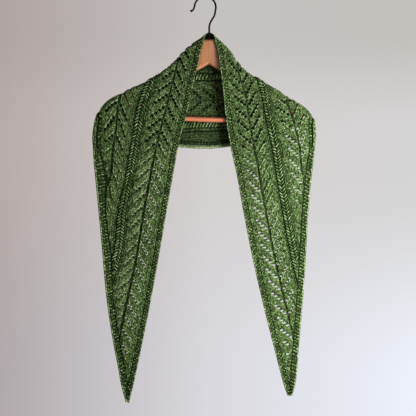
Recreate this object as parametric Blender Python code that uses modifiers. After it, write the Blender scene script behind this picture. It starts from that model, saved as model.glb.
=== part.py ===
"""A knitted lace scarf folded over a wooden clothes hanger, hung by the hanger's hook.

Metres, +Z up, +X to the viewer's right, the front faces -Y. The origin is the inner top of the hook.
The scarf is one long shallow triangle. It is laid out flat first, as (s, t): s runs along the straight
neck edge, 0 at the middle of the back and + towards the right tip, and t is the distance from that edge.
Then each flat point is draped over the hanger.
"""

import math

import bmesh
import bpy
import numpy as np

# The flat scarf
HALF_LENGTH = 0.788
REPEATS_PER_HALF = 30
ROW_STEP = HALF_LENGTH / REPEATS_PER_HALF / 2
HEM_BORDER = 0.012
HEM_BORDER_SHARE = 0.6
HEM_CORD = 0.004
HEM_CORD_SHARE = 0.25
# (distance along the neck edge from the middle, depth of the cloth there)
WIDTHS = (
    (0.000, 0.240),
    (0.045, 0.237),
    (0.094, 0.222),
    (0.134, 0.209),
    (0.178, 0.194),
    (0.231, 0.184),
    (0.262, 0.180),
    (0.294, 0.171),
    (0.378, 0.144),
    (0.483, 0.117),
    (0.588, 0.086),
    (0.693, 0.051),
    (0.766, 0.022),
    (0.788, 0.008),
)
# Lines of the knitting along the scarf: (distance from the neck edge, thickness of the cloth there)
COLUMN_LINES = (
    (0.0000, 0.0032),
    (0.0040, 0.0034),
    (0.0110, 0.0020),
    (0.0225, 0.0026),
    (0.0340, 0.0030),
    (0.0460, 0.0018),
    (0.0580, 0.0030),
    (0.0695, 0.0026),
    (0.0795, 0.0017),
    (0.0840, 0.0042),
    (0.0940, 0.0042),
    (0.0985, 0.0017),
    (0.1135, 0.0026),
    (0.1250, 0.0030),
    (0.1370, 0.0018),
    (0.1490, 0.0030),
    (0.1605, 0.0026),
    (0.1755, 0.0017),
    (0.1830, 0.0042),
    (0.1950, 0.0042),
    (0.2030, 0.0017),
)
HEM_BORDER_THICK = 0.0022
HEM_CORD_THICK = 0.0034
THICKEST = 0.0046
LACE_CENTRES = (0.046, 0.137)
LACE_HALF_WIDTH = 0.030
LEAF_HEIGHT = 0.0006
LEAF_LAG = 0.6
EYELET_ALONG = 0.0050
EYELET_ACROSS = 0.0044
EYELET_INSET = 0.0028
EYELET_TO_FOLD = 0.017
INNER_EYELET_REACH = 0.008
OUTER_EYELET_REACH = 0.020
SMALLEST_CELL = 0.0025
SMALLEST_EDGE = 0.00002

# The drape. The scarf turns over the hanger along a straight line of the flat cloth on each side.
HANGER_THICK = 0.012
ROLL_RADIUS = 0.0068
FOLD_START = 0.007
FOLD_END = 0.231
STRETCH_GAP = 0.0003
SHOULDER_WALL = 0.0034
SHOULDER_WALL_FADE = 8
SAG_REACH = 0.075
MIDDLE_X = 0.0084
# A row for each section across the scarf:
# (s, neck edge x, neck edge z, outer edge x, outer edge z). The outer edge is the top of the fold over
# the hanger up to FOLD_END, and the hem after it.
LEFT_SECTIONS = (
    (0.007, 0.0015, -0.0798, 0.0015, -0.0764),
    (0.0245, -0.0034, -0.0952, -0.0164, -0.0882),
    (0.042, -0.0080, -0.1110, -0.0340, -0.1019),
    (0.084, -0.0170, -0.1520, -0.0739, -0.1410),
    (0.126, -0.0271, -0.1928, -0.1176, -0.1716),
    (0.168, -0.0357, -0.2340, -0.1649, -0.1948),
    (0.210, -0.0466, -0.2745, -0.2117, -0.2242),
    (0.231, -0.0520, -0.2946, -0.2274, -0.2500),
    (0.262, -0.0590, -0.3255, -0.2358, -0.2856),
    (0.294, -0.0642, -0.3562, -0.2346, -0.3207),
    (0.378, -0.0790, -0.4389, -0.2265, -0.4158),
    (0.483, -0.0968, -0.5424, -0.2165, -0.5233),
    (0.588, -0.1158, -0.6458, -0.2064, -0.6292),
    (0.693, -0.1365, -0.7489, -0.1900, -0.7375),
    (0.730, -0.1441, -0.7852, -0.1824, -0.7768),
    (0.766, -0.1523, -0.8217, -0.1755, -0.8162),
    (0.788, -0.1588, -0.8470, -0.1672, -0.8480),
)
RIGHT_SECTIONS = (
    (0.007, 0.0153, -0.0798, 0.0153, -0.0764),
    (0.0245, 0.0200, -0.0951, 0.0318, -0.0902),
    (0.042, 0.0244, -0.1109, 0.0477, -0.1062),
    (0.084, 0.0311, -0.1525, 0.0806, -0.1498),
    (0.126, 0.0365, -0.1940, 0.1262, -0.1778),
    (0.168, 0.0403, -0.2358, 0.1724, -0.2081),
    (0.210, 0.0460, -0.2774, 0.2165, -0.2390),
    (0.231, 0.0498, -0.2984, 0.2283, -0.2617),
    (0.262, 0.0559, -0.3291, 0.2314, -0.2900),
    (0.294, 0.0630, -0.3597, 0.2285, -0.3203),
    (0.378, 0.0781, -0.4420, 0.2184, -0.4169),
    (0.483, 0.0984, -0.5450, 0.2112, -0.5250),
    (0.588, 0.1217, -0.6466, 0.2041, -0.6298),
    (0.693, 0.1472, -0.7487, 0.1955, -0.7369),
    (0.766, 0.1666, -0.8200, 0.1875, -0.8148),
    (0.788, 0.1722, -0.8345, 0.1818, -0.8345),
)
# The hem across the back: (s, x, z) on each side
LEFT_BACK_HEM = (
    (0.000, 0.0084, -0.3173),
    (0.040, -0.0320, -0.3160),
    (0.078, -0.0699, -0.3115),
    (0.134, -0.1270, -0.2870),
    (0.178, -0.1715, -0.2640),
    (0.231, -0.2274, -0.2500),
)
RIGHT_BACK_HEM = (
    (0.000, 0.0084, -0.3173),
    (0.046, 0.0540, -0.3120),
    (0.094, 0.1033, -0.2990),
    (0.134, 0.1432, -0.2870),
    (0.178, 0.1842, -0.2745),
    (0.231, 0.2283, -0.2617),
)
# The cloth's rounded peak behind the hook
CROWN_HEIGHT = 0.0042
CROWN_REACH = 0.0065
CROWN_FOOT_Z = -0.0940
CROWN_TOP_Z = -0.0815
WAVE_FADE_IN = 0.05
FRONT_WAVE = 0.0045
FRONT_WAVE_LENGTH = 0.30
FRONT_WAVE_LAG = 2.2
RIGHT_WAVE_LEAD = 0.9
BACK_WAVE = 0.0030
BACK_WAVE_LENGTH = 0.21
BACK_WAVE_LEAD = 0.6

# The hanger
EDGE_ROUND = 0.0050
WOOD_TO_CLOTH = 0.0028
# Where the arm's top edge is laid out, as distances along the scarf's neck edge
ARM_STEPS = (0.040, 0.062, 0.084, 0.105, 0.126, 0.147, 0.168, 0.187, 0.197)
# The arm's rounded end: (outwards from its furthest point, up from the bar's axis)
ARM_END = (
    (0.0010, 0.0150),
    (0.0020, 0.0040),
    (-0.0010, -0.0060),
    (-0.0100, -0.0100),
    (-0.0240, -0.0085),
    (-0.0400, 0.0025),
)
NECK_TOP_Z = -0.0884
NECK_HALF_WIDTH = 0.0110
SHOULDER_OUT = 0.0060
SHOULDER_DOWN = 0.0075
NOTCH_X = 0.0071
NOTCH_Z = -0.1405
UNDERSIDE_SLOPE = 0.592
UNDERSIDE_REACH = 0.1500
HANGER_TILT = 0.036
ARM_PAST_BAR = 0.0125
BAR_RADIUS = 0.0050
BAR_SIDES = 20
BAR_MIDDLE = (0.0015, -0.2560)
BAR_HALF_RUN = 0.2015
BAR_LEFT = (BAR_MIDDLE[0] - BAR_HALF_RUN, BAR_MIDDLE[1] + BAR_HALF_RUN * HANGER_TILT)
BAR_RIGHT = (BAR_MIDDLE[0] + BAR_HALF_RUN, BAR_MIDDLE[1] - BAR_HALF_RUN * HANGER_TILT)
BAR_CLEARANCE = 0.0003
WIRE_RADIUS = 0.0020
BEND_RADIUS = 0.0225
BEND_X = -0.0003
BEND_FROM = -15
BEND_TURN = 190
BEND_STEPS = 12
HOOK_TIP_FLARE = 1.35
# (x, z) of the wire's middle before the round bend, above the point where it leaves the wood
HOOK_STEM = (
    (MIDDLE_X, -0.0740),
    (MIDDLE_X, -0.0600),
    (0.0121, -0.0495),
    (0.0189, -0.0385),
)
HOOK_TIP = ((-0.0252, -0.0255), (-0.0312, -0.0292))
HOOK_TO_WOOD = 0.0003

PINE_GREEN = (0.105, 0.215, 0.065)
ORANGE_WOOD = (0.560, 0.235, 0.105)
RED_WOOD = (0.570, 0.165, 0.080)
BLACK_STEEL = (0.020, 0.020, 0.022)


def clear_scene():
    for thing in list(bpy.data.objects):
        bpy.data.objects.remove(thing, do_unlink=True)


def new_collection(name):
    collection = bpy.data.collections.new(name)
    bpy.context.scene.collection.children.link(collection)
    return collection


def new_material(name, colour, roughness, metallic=0.0):
    material = bpy.data.materials.new(name)
    material.use_nodes = True
    shader = material.node_tree.nodes["Principled BSDF"]
    shader.inputs["Base Color"].default_value = (*colour, 1.0)
    shader.inputs["Roughness"].default_value = roughness
    shader.inputs["Metallic"].default_value = metallic
    return material


def smooth_value(rows, column, at):
    """Value of a table's column at the given s, on one smooth curve through the rows."""
    table = np.array(rows)
    steps, values = table[:, 0], table[:, column]
    slopes = np.gradient(values, steps)
    at = min(max(at, steps[0]), steps[-1])
    i = min(int(np.searchsorted(steps, at, side="right")) - 1, len(steps) - 2)
    span = steps[i + 1] - steps[i]
    k = (at - steps[i]) / span
    return (
        (2 * k**3 - 3 * k**2 + 1) * values[i]
        + (k**3 - 2 * k**2 + k) * span * slopes[i]
        + (3 * k**2 - 2 * k**3) * values[i + 1]
        + (k**3 - k**2) * span * slopes[i + 1]
    )


def width_at(s):
    return smooth_value(WIDTHS, 1, abs(s))


FOLD_SLOPE = width_at(FOLD_END) / (FOLD_END - FOLD_START)
FOLD_ANGLE = math.atan(FOLD_SLOPE)
HALF_ROLL = ROLL_RADIUS * math.pi / 2


def past_fold(s, t):
    """Flat distance from the fold line: positive on the back, negative on the fronts."""
    return t * math.cos(FOLD_ANGLE) - (abs(s) - FOLD_START) * math.sin(FOLD_ANGLE)


def below_fold(d):
    """How far below the top of the fold a point at distance d from it hangs."""
    if abs(d) < HALF_ROLL:
        return ROLL_RADIUS * (1 - math.cos(d / ROLL_RADIUS))
    return abs(d) - HALF_ROLL + ROLL_RADIUS


def eased(share):
    share = min(1.0, max(0.0, share))
    return share * share * (3 - 2 * share)


def neck_edge(s):
    """Place (x, z) of the neck edge, seen from the front."""
    rows = RIGHT_SECTIONS if s >= 0 else LEFT_SECTIONS
    edge = np.array([smooth_value(rows, 1, abs(s)), smooth_value(rows, 2, abs(s))])
    if abs(s) < FOLD_START:
        middle = np.array([MIDDLE_X, edge[1]])
        return middle + (edge - middle) * abs(s) / FOLD_START
    return edge


def outer_edge(s):
    """Place (x, z) of the fold's top, on the inner side of the cloth, and past the fold that of the hem."""
    rows = RIGHT_SECTIONS if s >= 0 else LEFT_SECTIONS
    inward = SHOULDER_WALL * max(0.0, 1 - (abs(s) / FOLD_END) ** SHOULDER_WALL_FADE)
    return np.array([smooth_value(rows, 3, abs(s)), smooth_value(rows, 4, abs(s)) - inward])


def hem(s):
    """Place (x, z) of the hem, which hangs behind the hanger up to FOLD_END and in front after it."""
    if abs(s) > FOLD_END:
        return outer_edge(s)
    rows = RIGHT_BACK_HEM if s >= 0 else LEFT_BACK_HEM
    return np.array([smooth_value(rows, 1, abs(s)), smooth_value(rows, 2, abs(s))])


def fold_flat(s, t):
    """Place (x, z) of a flat point once the cloth is folded along a straight line, sagged to the hanger."""
    side = 1 if s >= 0 else -1
    along = np.array([side * math.cos(FOLD_ANGLE), -math.sin(FOLD_ANGLE)])
    down = np.array([-side * math.sin(FOLD_ANGLE), -math.cos(FOLD_ANGLE)])
    start = outer_edge(side * FOLD_START)
    a = (abs(s) - FOLD_START) * math.cos(FOLD_ANGLE) + t * math.sin(FOLD_ANGLE)
    d = past_fold(s, t)
    on_fold = min(FOLD_END, max(FOLD_START, FOLD_START + a * math.cos(FOLD_ANGLE)))
    straight = start + along * (on_fold - FOLD_START) / math.cos(FOLD_ANGLE)
    sag = outer_edge(side * on_fold) - straight
    return start + along * a + down * below_fold(d) + sag * (1 - eased(abs(d) / SAG_REACH))


def wave_depth(s, t, d):
    """How far the cloth stands off from a flat hang, outwards."""
    off_roll = min(1.0, max(0.0, (abs(d) - HALF_ROLL) / WAVE_FADE_IN))
    across = t / width_at(s)
    if d < 0:
        lead = RIGHT_WAVE_LEAD if s > 0 else 0.0
        turn = 2 * math.pi * (abs(s) - FOLD_END) / FRONT_WAVE_LENGTH + lead
        wave = 0.5 - 0.5 * math.cos(turn + FRONT_WAVE_LAG * across)
        return FRONT_WAVE * off_roll * wave
    wave = 0.5 - 0.5 * math.cos(2 * math.pi * s / BACK_WAVE_LENGTH + BACK_WAVE_LEAD)
    return BACK_WAVE * off_roll * wave * across


def drape(s, t):
    """Place of a flat point's inner side on the hanger."""
    width = width_at(s)
    d, d_neck, d_hem = past_fold(s, t), past_fold(s, 0), past_fold(s, width)
    neck_off = neck_edge(s) - fold_flat(s, 0)
    hem_off = hem(s) - fold_flat(s, width)
    if FOLD_START < abs(s) < FOLD_END:
        neck_share = eased(d / d_neck) if d < 0 else 0.0
        hem_share = eased(d / max(d_hem, 3 * HALF_ROLL)) if d > 0 else 0.0
    else:
        hem_share = eased((d - d_neck) / (d_hem - d_neck))
        neck_share = 1 - hem_share
    x, z = fold_flat(s, t) + neck_off * neck_share + hem_off * hem_share
    turn = max(-math.pi / 2, min(math.pi / 2, d / ROLL_RADIUS))
    y = ROLL_RADIUS * math.sin(turn) + math.copysign(wave_depth(s, t, d), d)
    crown = math.exp(-(((x - MIDDLE_X) / CROWN_REACH) ** 2))
    crown *= eased((z - CROWN_FOOT_Z) / (CROWN_TOP_Z - CROWN_FOOT_Z))
    return (x, y, z + CROWN_HEIGHT * crown)


def column_lines(s):
    """Distances from the neck edge of the grid's lines at s: the columns that the slanted hem leaves."""
    width = width_at(s)
    inside = width - min(HEM_BORDER, width * HEM_BORDER_SHARE)
    cord = width - min(HEM_CORD, width * HEM_CORD_SHARE)
    lines = []
    for distance, _ in COLUMN_LINES:
        lines.append(distance if distance < inside - SMALLEST_CELL else inside)
    return lines + [cord, width]


def thickness_at(s, t):
    """Thickness of the cloth: columns, leaves of the lace, and the borders."""
    width = width_at(s)
    inside = width - HEM_BORDER
    lines = [line for line in COLUMN_LINES if line[0] < inside - SMALLEST_CELL]
    distances = [distance for distance, _ in lines] + [inside, width - HEM_CORD, width]
    heights = [height for _, height in lines] + [HEM_BORDER_THICK, HEM_CORD_THICK, HEM_CORD_THICK]
    if inside <= SMALLEST_CELL:
        return HEM_CORD_THICK
    thick = np.interp(t, distances, heights)
    for centre in LACE_CENTRES:
        off = abs(t - centre)
        if off < LACE_HALF_WIDTH and t < inside - SMALLEST_CELL:
            phase = math.pi * (s + LEAF_LAG * off) / ROW_STEP
            fade = 1 - (off / LACE_HALF_WIDTH) ** 2
            thick += LEAF_HEIGHT * fade * math.cos(phase)
    return thick


def flat_sheet():
    """The flat scarf as one grid, with its hem, and a list of the cells that hold an eyelet."""
    sheet = bmesh.new()
    rows = []
    for step in range(-2 * REPEATS_PER_HALF, 2 * REPEATS_PER_HALF + 1):
        s = step * ROW_STEP
        rows.append([sheet.verts.new((s, t, 0)) for t in column_lines(s)])
    eyelets = []
    for step, (row, after) in enumerate(zip(rows, rows[1:])):
        for k in range(len(row) - 1):
            face = sheet.faces.new((row[k], after[k], after[k + 1], row[k + 1]))
            if holds_eyelet(step, k, face):
                eyelets.append(face)
    return sheet, eyelets


def holds_eyelet(step, k, face):
    """The lace's chevrons point to the right tip: inner eyelets in one row step, outer in the one before."""
    if k >= len(COLUMN_LINES) - 1:
        return False
    low, high = COLUMN_LINES[k][0], COLUMN_LINES[k + 1][0]
    if any(abs(v.co.y - low) > 1e-6 and abs(v.co.y - high) > 1e-6 for v in face.verts):
        return False
    off = min(abs((low + high) / 2 - centre) for centre in LACE_CENTRES)
    is_inner = off < INNER_EYELET_REACH
    is_outer = INNER_EYELET_REACH < off < OUTER_EYELET_REACH
    if not (is_inner and step % 2 == 0 or is_outer and step % 2 == 1):
        return False
    middle = face.calc_center_median()
    return abs(past_fold(middle.x, middle.y)) > EYELET_TO_FOLD


def cut_eyelets(sheet, eyelets):
    """A small hole in the middle of each listed cell."""
    centres = [(face, face.calc_center_median()) for face in eyelets]
    bmesh.ops.inset_individual(sheet, faces=eyelets, thickness=EYELET_INSET, use_even_offset=True)
    for face, centre in centres:
        for vert in face.verts:
            vert.co.x = centre.x + math.copysign(EYELET_ALONG / 2, vert.co.x - centre.x)
            vert.co.y = centre.y + math.copysign(EYELET_ACROSS / 2, vert.co.y - centre.y)
    bmesh.ops.delete(sheet, geom=eyelets, context="FACES")


def crease_lines(sheet):
    """New edges along the fold on each side, so that the cloth can turn over the hanger."""
    half, gap = HALF_ROLL, STRETCH_GAP / 2
    offsets = (-half, -half / 2, -gap, gap, half / 2, half)
    for side in (-1, 1):
        across = np.array([-side * math.sin(FOLD_ANGLE), math.cos(FOLD_ANGLE), 0])
        start = np.array([side * FOLD_START, 0, 0])
        for offset in offsets:
            faces = [f for f in sheet.faces if all(v.co.x * side > -1e-7 for v in f.verts)]
            edges = {e for f in faces for e in f.edges}
            verts = {v for f in faces for v in f.verts}
            bmesh.ops.bisect_plane(
                sheet,
                geom=[*verts, *edges, *faces],
                dist=1e-6,
                plane_co=start + across * offset,
                plane_no=across,
            )


def stretch_of(face):
    """Which stretch of the scarf a flat face belongs to, or None on the line where two meet."""
    middle = face.calc_center_median()
    d = past_fold(middle.x, middle.y)
    if abs(d) < STRETCH_GAP / 2:
        return None
    if d > 0:
        return "scarf_back"
    return "scarf_front_right" if middle.x > 0 else "scarf_front_left"


def add_stretch(name, sheet, parts, material):
    """One stretch: the flat faces of that name, draped, with the thickness raised on the outer side."""
    piece = sheet.copy()
    others = [face for face in piece.faces if stretch_of(face) != name]
    bmesh.ops.delete(piece, geom=others, context="FACES")
    weights = piece.verts.layers.deform.verify()
    for vert in piece.verts:
        s, t = vert.co.x, vert.co.y
        vert[weights][0] = thickness_at(s, t) / THICKEST
        vert.co = drape(s, t)
    piece.normal_update()
    mesh = bpy.data.meshes.new(name)
    piece.to_mesh(mesh)
    piece.free()
    mesh.materials.append(material)
    obj = bpy.data.objects.new(name, mesh)
    parts.objects.link(obj)
    obj.vertex_groups.new(name="thickness")
    wall = obj.modifiers.new("wall", "SOLIDIFY")
    wall.thickness = THICKEST
    wall.offset = 1.0
    wall.vertex_group = "thickness"
    wall.use_even_offset = False
    mesh.shade_smooth()
    mesh.set_sharp_from_angle(angle=math.radians(50))
    return obj


def add_scarf(parts, material):
    sheet, eyelets = flat_sheet()
    cut_eyelets(sheet, eyelets)
    bmesh.ops.remove_doubles(sheet, verts=sheet.verts, dist=SMALLEST_EDGE / 2)
    crease_lines(sheet)
    bmesh.ops.remove_doubles(sheet, verts=sheet.verts, dist=SMALLEST_EDGE)
    bmesh.ops.dissolve_degenerate(sheet, edges=sheet.edges, dist=SMALLEST_EDGE / 2)
    for name in ("scarf_front_left", "scarf_front_right", "scarf_back"):
        add_stretch(name, sheet, parts, material)
    sheet.free()


def arm_outline(side):
    """Outline of one arm, from the neck down the top edge to the end, and back along the underside."""
    bar_x, bar_z = BAR_RIGHT if side > 0 else BAR_LEFT
    outline = []
    for s in ARM_STEPS:
        x, z = outer_edge(side * s)
        along = side * (outer_edge(side * (s + 0.003)) - outer_edge(side * (s - 0.003)))
        reach = WOOD_TO_CLOTH / np.hypot(*along)
        outline.append((x + along[1] * reach, z - along[0] * reach))
    end_x = bar_x + side * ARM_PAST_BAR
    outline += [(end_x + side * out, bar_z + up) for out, up in ARM_END]
    under_x = side * UNDERSIDE_REACH
    under_slope = UNDERSIDE_SLOPE + side * HANGER_TILT
    outline.append((under_x, NOTCH_Z - abs(under_x - NOTCH_X) * under_slope))
    return outline


def neck_outline(side):
    """Outline of the neck on one side, from the top down to the shoulder."""
    top_x = NOTCH_X + side * NECK_HALF_WIDTH
    return [(top_x, NECK_TOP_Z), (top_x + side * SHOULDER_OUT, NECK_TOP_Z - SHOULDER_DOWN)]


def hanger_outline():
    """The whole outline, once round: down the right arm, through the notch and up the left arm."""
    right = neck_outline(1) + arm_outline(1)
    left = neck_outline(-1) + arm_outline(-1)
    return right + [(NOTCH_X, NOTCH_Z)] + left[::-1]


def add_hanger_body(parts, cutters, material):
    outline = hanger_outline()
    curve = bpy.data.curves.new("hanger_body", "CURVE")
    curve.dimensions = "2D"
    curve.fill_mode = "BOTH"
    spline = curve.splines.new("POLY")
    spline.points.add(len(outline) - 1)
    for point, (x, z) in zip(spline.points, outline):
        point.co = (x, z, 0, 1)
    spline.use_cyclic_u = True
    curve.bevel_depth = EDGE_ROUND
    curve.bevel_resolution = 3
    curve.extrude = HANGER_THICK / 2 - EDGE_ROUND
    curve.offset = -EDGE_ROUND
    guide = bpy.data.objects.new("hanger_body_outline", curve)
    guide.rotation_euler = (math.pi / 2, 0, 0)
    bpy.context.scene.collection.objects.link(guide)
    bpy.context.view_layer.update()
    graph = bpy.context.evaluated_depsgraph_get()
    mesh = bpy.data.meshes.new_from_object(guide.evaluated_get(graph))
    mesh.transform(guide.matrix_world)
    bpy.data.objects.remove(guide, do_unlink=True)
    solid = bmesh.new()
    solid.from_mesh(mesh)
    bmesh.ops.remove_doubles(solid, verts=solid.verts, dist=1e-6)
    bmesh.ops.recalc_face_normals(solid, faces=solid.faces)
    solid.to_mesh(mesh)
    solid.free()
    mesh.name = "hanger_body"
    mesh.materials.clear()
    mesh.materials.append(material)
    body = bpy.data.objects.new("hanger_body", mesh)
    parts.objects.link(body)
    hole = add_bar("bar_holes", BAR_RADIUS + BAR_CLEARANCE, BAR_CLEARANCE, cutters, material)
    hole.hide_render = True
    hole.display_type = "WIRE"
    cut = body.modifiers.new("bar holes", "BOOLEAN")
    cut.object = hole
    cut.operation = "DIFFERENCE"
    cut.solver = "EXACT"
    mesh.shade_smooth()
    mesh.set_sharp_from_angle(angle=math.radians(40))
    return body


def add_bar(name, radius, longer, collection, material):
    """A round bar between the two arms' ends."""
    start = np.array([BAR_LEFT[0], 0, BAR_LEFT[1]])
    end = np.array([BAR_RIGHT[0], 0, BAR_RIGHT[1]])
    run = end - start
    length = float(np.linalg.norm(run))
    bpy.ops.mesh.primitive_cylinder_add(
        vertices=BAR_SIDES,
        radius=radius,
        depth=length + 2 * longer,
        location=tuple((start + end) / 2),
        rotation=(0, math.atan2(run[0], run[2]), 0),
    )
    bar = bpy.context.object
    bar.name = name
    for owner in list(bar.users_collection):
        owner.objects.unlink(bar)
    collection.objects.link(bar)
    bar.data.materials.append(material)
    bar.data.shade_smooth()
    bar.data.set_sharp_from_angle(angle=math.radians(40))
    return bar


def hook_path():
    """Points of the hook's wire: the stem, the curl out to the right, the round bend, and the tip."""
    bend_z = WIRE_RADIUS - BEND_RADIUS
    points = [(MIDDLE_X, NECK_TOP_Z + HOOK_TO_WOOD), *HOOK_STEM]
    for step in range(BEND_STEPS + 1):
        turn = math.radians(BEND_FROM + BEND_TURN * step / BEND_STEPS)
        points.append((BEND_X + BEND_RADIUS * math.cos(turn), bend_z + BEND_RADIUS * math.sin(turn)))
    return [*points, *HOOK_TIP]


def add_hook(parts, material):
    points = hook_path()
    rows = [(step, x, z) for step, (x, z) in enumerate(points)]
    curve = bpy.data.curves.new("hanger_hook", "CURVE")
    curve.dimensions = "3D"
    curve.bevel_depth = WIRE_RADIUS
    curve.bevel_resolution = 2
    curve.use_fill_caps = True
    spline = curve.splines.new("POLY")
    fine = np.linspace(0, len(points) - 1, 2 * len(points) + 1)
    spline.points.add(len(fine) - 1)
    for point, at in zip(spline.points, fine):
        point.co = (smooth_value(rows, 1, at), 0, smooth_value(rows, 2, at), 1)
        point.radius = 1.0
    spline.points[-2].radius = (1 + HOOK_TIP_FLARE) / 2
    spline.points[-1].radius = HOOK_TIP_FLARE
    hook = bpy.data.objects.new("hanger_hook", curve)
    curve.materials.append(material)
    parts.objects.link(hook)
    return hook


def main():
    clear_scene()
    parts = new_collection("scarf_on_hanger")
    cutters = new_collection("cutters")
    knit = new_material("green_knit", PINE_GREEN, 0.95)
    wood = new_material("hanger_wood", ORANGE_WOOD, 0.45)
    bar_wood = new_material("bar_wood", RED_WOOD, 0.45)
    steel = new_material("black_wire", BLACK_STEEL, 0.35, 0.8)
    add_scarf(parts, knit)
    add_hanger_body(parts, cutters, wood)
    add_bar("trouser_bar", BAR_RADIUS, 0.0, parts, bar_wood)
    add_hook(parts, steel)


main()
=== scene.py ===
import math

import bmesh
import bpy
import numpy as np
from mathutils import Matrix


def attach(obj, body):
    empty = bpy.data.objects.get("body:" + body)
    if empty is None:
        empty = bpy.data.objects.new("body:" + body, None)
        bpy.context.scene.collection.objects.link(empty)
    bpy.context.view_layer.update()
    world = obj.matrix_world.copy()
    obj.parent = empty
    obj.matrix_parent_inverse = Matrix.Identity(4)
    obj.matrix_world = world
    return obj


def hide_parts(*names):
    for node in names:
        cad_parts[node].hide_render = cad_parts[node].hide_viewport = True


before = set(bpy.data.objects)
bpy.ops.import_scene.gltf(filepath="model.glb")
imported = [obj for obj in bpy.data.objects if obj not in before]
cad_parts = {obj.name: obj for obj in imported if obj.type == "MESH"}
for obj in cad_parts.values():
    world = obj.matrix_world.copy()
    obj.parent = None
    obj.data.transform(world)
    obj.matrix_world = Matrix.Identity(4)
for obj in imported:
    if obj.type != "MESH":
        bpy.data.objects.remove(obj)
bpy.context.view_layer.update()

dice = np.random.default_rng(26)  # one seeded source for every small unevenness

# A knitted lace scarf folded over a wooden clothes hanger.
# Flat cloth: s runs along the straight neck edge (0 at the middle of the back, + to the right tip),
# t is the distance from that edge. Everything on the cloth is laid out flat, then draped.


# Shader maths

class Tone:
    # A shader socket that can stand in a sum
    def __init__(self, paint, socket):
        self.paint = paint
        self.socket = socket

    def sum(self, operation, first, second=0.0):
        return self.paint.node("ShaderNodeMath", {"operation": operation}, {0: first, 1: second})

    def __add__(self, other):
        return self.sum("ADD", self, other)

    def __sub__(self, other):
        return self.sum("SUBTRACT", self, other)

    def __rsub__(self, other):
        return self.sum("SUBTRACT", other, self)

    def __mul__(self, other):
        return self.sum("MULTIPLY", self, other)

    __radd__ = __add__
    __rmul__ = __mul__

    def beside(self, output):
        # Another output of the same node
        return Tone(self.paint, self.socket.node.outputs[output])

    def above(self, low, high):
        # 0 below low, 1 above high, smooth between
        settings = {"interpolation_type": "SMOOTHSTEP"}
        values = {"Value": self, "From Min": low, "From Max": high}
        return self.paint.node("ShaderNodeMapRange", settings, values)


class Paint:
    # A Principled material and the nodes that feed it
    @classmethod
    def over(cls, tree):
        # The same tools on a tree that is there already
        paint = cls.__new__(cls)
        paint.tree = tree
        return paint

    def __init__(self, name, **fixed):
        self.material = bpy.data.materials.new(name)
        self.material.use_nodes = True
        self.tree = self.material.node_tree
        self.shader = self.tree.nodes["Principled BSDF"]
        for socket, value in fixed.items():
            self.feed(self.shader.inputs[socket.replace("_", " ")], value)

    def feed(self, socket, value):
        if isinstance(value, Tone):
            self.tree.links.new(value.socket, socket)
        elif socket.type == "RGBA":
            socket.default_value = (*value, 1.0)
        else:
            socket.default_value = value

    def node(self, kind, settings=None, inputs=None, output=0):
        made = self.tree.nodes.new(kind)
        for name, value in (settings or {}).items():
            if name == "stops":
                self.setStops(made.color_ramp, value)
            else:
                setattr(made, name, value)
        open_ = [socket for socket in made.inputs if socket.enabled]
        byName = {socket.name: socket for socket in reversed(open_)}
        for name, value in (inputs or {}).items():
            self.feed(open_[name] if isinstance(name, int) else byName[name], value)
        return Tone(self, [socket for socket in made.outputs if socket.enabled][output])

    def setStops(self, ramp, stops):
        while len(ramp.elements) < len(stops):
            ramp.elements.new(1.0)
        for element, (place, colour) in zip(ramp.elements, stops):
            element.position = place
            element.color = (*colour, 1.0)

    def place(self, stretch=(1, 1, 1), turn=(0, 0, 0)):
        # The piece's own coordinates, stretched and turned
        own = self.node("ShaderNodeTexCoord", output=3)
        return self.node("ShaderNodeMapping", None, {"Vector": own, "Scale": stretch, "Rotation": turn})

    def noise(self, where, scale, detail=2.0, roughness=0.5, distortion=0.0):
        values = {
            "Vector": where,
            "Scale": scale,
            "Detail": detail,
            "Roughness": roughness,
            "Distortion": distortion,
        }
        return self.node("ShaderNodeTexNoise", None, values)

    def attribute(self, name):
        return self.node("ShaderNodeAttribute", {"attribute_name": name}, output=2)

    def ramp(self, value, stops):
        return self.node("ShaderNodeValToRGB", {"stops": stops}, {"Fac": value})

    def blend(self, factor, first, second, way="MIX"):
        settings = {"data_type": "RGBA", "blend_type": way}
        return self.node("ShaderNodeMix", settings, {"Factor": factor, "A": first, "B": second})

    def bump(self, height, distance, strength=1.0):
        values = {"Height": height, "Distance": distance, "Strength": strength}
        self.set("Normal", self.node("ShaderNodeBump", None, values))

    def set(self, socket, value):
        self.feed(self.shader.inputs[socket], value)


# Small helpers

def meshObject(name, shape):
    mesh = bpy.data.meshes.new(name)
    shape.to_mesh(mesh)
    shape.free()
    thing = bpy.data.objects.new(name, mesh)
    bpy.context.scene.collection.objects.link(thing)
    return thing


def eased(share):
    share = np.clip(share, 0.0, 1.0)
    return share * share * (3 - 2 * share)


def smoothValue(rows, column, at):
    # A table's column at the given places, on one smooth curve through the rows
    table = np.array(rows)
    steps, values = table[:, 0], table[:, column]
    slopes = np.gradient(values, steps)
    at = np.clip(at, steps[0], steps[-1])
    i = np.clip(np.searchsorted(steps, at, side="right") - 1, 0, len(steps) - 2)
    span = steps[i + 1] - steps[i]
    k = (at - steps[i]) / span
    return (
        (2 * k**3 - 3 * k**2 + 1) * values[i]
        + (k**3 - 2 * k**2 + k) * span * slopes[i]
        + (3 * k**2 - 2 * k**3) * values[i + 1]
        + (k**3 - k**2) * span * slopes[i + 1]
    )


# Camera, light and floor

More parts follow.
